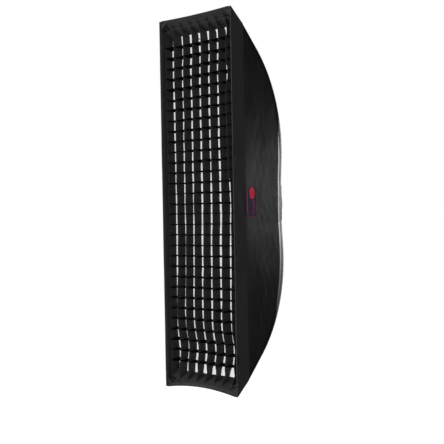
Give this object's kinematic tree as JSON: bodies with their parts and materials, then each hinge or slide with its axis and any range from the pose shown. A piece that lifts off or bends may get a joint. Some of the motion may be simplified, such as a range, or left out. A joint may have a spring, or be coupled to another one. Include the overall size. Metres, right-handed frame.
{
  "type": "strip softbox",
  "caption": "Tall strip softbox with a rotating bayonet speed ring, bent rods, a recessed white diffuser, an inner baffle and a lift-off fabric egg-crate grid.",
  "frame": {"origin": "centre of the bayonet opening, on the face that seats on the flash head", "axes": "+Y along the ring's axis towards the flash head, so light leaves along -Y; +Z along the long side, upwards; +X to the right, seen from the front"},
  "size_m": [0.3522, 0.458, 1.4],
  "materials": {
    "cast_metal": "satin cast and machined",
    "anodised": "black anodised",
    "steel": "machined",
    "screw_steel": "bright plated",
    "brass_pad": "turned",
    "knob_plastic": "moulded, matt",
    "washer_nylon": "smooth",
    "rod_glass_fibre": "pultruded, satin",
    "rod_tip_plastic": "moulded",
    "shell_cloth": "coated nylon, satin outside, silver inside",
    "lip_cloth": "doubled nylon",
    "binding_tape": "grosgrain",
    "piping": "piped seam",
    "elastic": "woven elastic",
    "loop_tape": "hook-and-loop, soft side",
    "hook_tape": "hook-and-loop, hook side",
    "white_tape": "hook-and-loop, white",
    "diffuser_cloth": "white translucent nylon",
    "baffle_cloth": "white translucent nylon",
    "grid_cloth": "stiffened black webbing",
    "label_cloth": "woven badge, dark blue with a red mark"
  },
  "bodies": {
    "mount_insert": {"insert_ring": "anodised", "bayonet_ring": "steel", "bayonet_screws": "screw_steel", "retainer_ring": "steel", "retainer_screws": "screw_steel"},
    "softbox": {"outer_ring": "cast_metal", "glide_washer": "washer_nylon", "rod_upper_right": "rod_glass_fibre", "rod_upper_left": "rod_glass_fibre", "rod_lower_right": "rod_glass_fibre", "rod_lower_left": "rod_glass_fibre", "rod_ferrules": "steel", "rod_tips": "rod_tip_plastic", "side_panel_right": "shell_cloth", "side_panel_left": "shell_cloth", "top_panel": "shell_cloth", "bottom_panel": "shell_cloth", "seam_piping": "piping", "rear_collar": "lip_cloth", "collar_elastic": "elastic", "lip_right": "lip_cloth", "lip_left": "lip_cloth", "lip_top": "lip_cloth", "lip_bottom": "lip_cloth", "rim_binding": "binding_tape", "corner_pockets": "binding_tape", "diffuser_ledge": "loop_tape", "lip_loop_tapes": "loop_tape", "inner_baffle": "baffle_cloth", "baffle_hem": "white_tape", "baffle_elastics": "elastic", "baffle_clips": "knob_plastic", "label_patch": "label_cloth"},
    "clamp_pad": {"clamp_pad": "brass_pad"},
    "clamp_screw": {"clamp_screw": "screw_steel", "clamp_knob": "knob_plastic"},
    "front_diffuser": {"front_diffuser": "diffuser_cloth", "diffuser_hook_tape": "white_tape"},
    "grid": {"grid_uprights": "grid_cloth", "grid_crossbars": "grid_cloth", "grid_borders": "grid_cloth", "grid_hook_tapes": "hook_tape", "grid_end_tabs": "grid_cloth"}
  },
  "joints": [
    {"name": "ring_turn", "type": "hinge", "parent": "mount_insert", "child": "softbox", "pos_m": [0, -0.017, 0], "axis": [0, 1, 0], "continuous": true},
    {"name": "clamp_travel", "type": "slide", "parent": "softbox", "child": "clamp_pad", "axis": [0, 0, -1], "range_m": [0, 0.002]},
    {"name": "clamp_turn", "type": "hinge", "parent": "clamp_pad", "child": "clamp_screw", "pos_m": [0, -0.007, -0.08], "axis": [0, 0, -1], "range_deg": [0, 720]},
    {"name": "diffuser_lift_off", "type": "slide", "parent": "softbox", "child": "front_diffuser", "axis": [0, -1, 0], "range_m": [0, 0.12]},
    {"name": "grid_lift_off", "type": "slide", "parent": "front_diffuser", "child": "grid", "axis": [0, -1, 0], "range_m": [0, 0.12]}
  ],
  "couplings": [
    {"joint": "clamp_turn", "follows": "clamp_travel", "rad_per_m": 6283.2}
  ]
}
